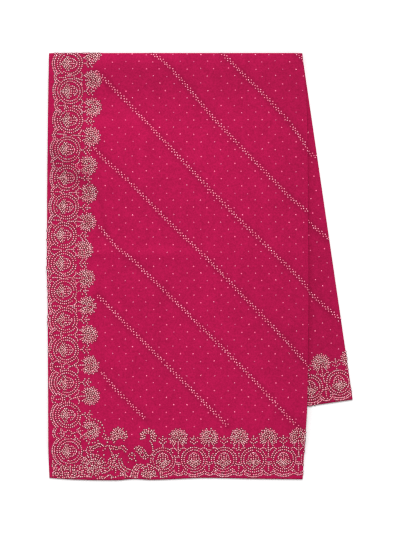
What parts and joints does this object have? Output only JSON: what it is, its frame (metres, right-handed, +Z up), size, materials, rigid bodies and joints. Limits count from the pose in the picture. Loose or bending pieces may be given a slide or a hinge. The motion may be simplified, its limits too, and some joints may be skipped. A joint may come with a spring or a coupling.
{
  "type": "folded saree",
  "caption": "Fuchsia saree doubled lengthwise and folded into a flat pile, with a scalloped stone border, slanting bands of stones and scattered stones.",
  "frame": {"origin": "on the surface the saree lies on, under the middle of its outline", "axes": "+Y along the folded length towards the crosswise fold, +X towards the lengthwise fold, +Z up off the surface"},
  "size_m": [0.6885, 0.9615, 0.0151],
  "materials": {
    "front_cloth": "matte georgette with a soft sheen",
    "inner_cloth": "matte georgette",
    "back_cloth": "matte georgette with a soft sheen",
    "stones": "small faceted stones, pale gold, glossy"
  },
  "bodies": {
    "root": {"front_stretch": "front_cloth", "hidden_layers": "inner_cloth", "back_stretch": "back_cloth"}
  },
  "joints": []
}
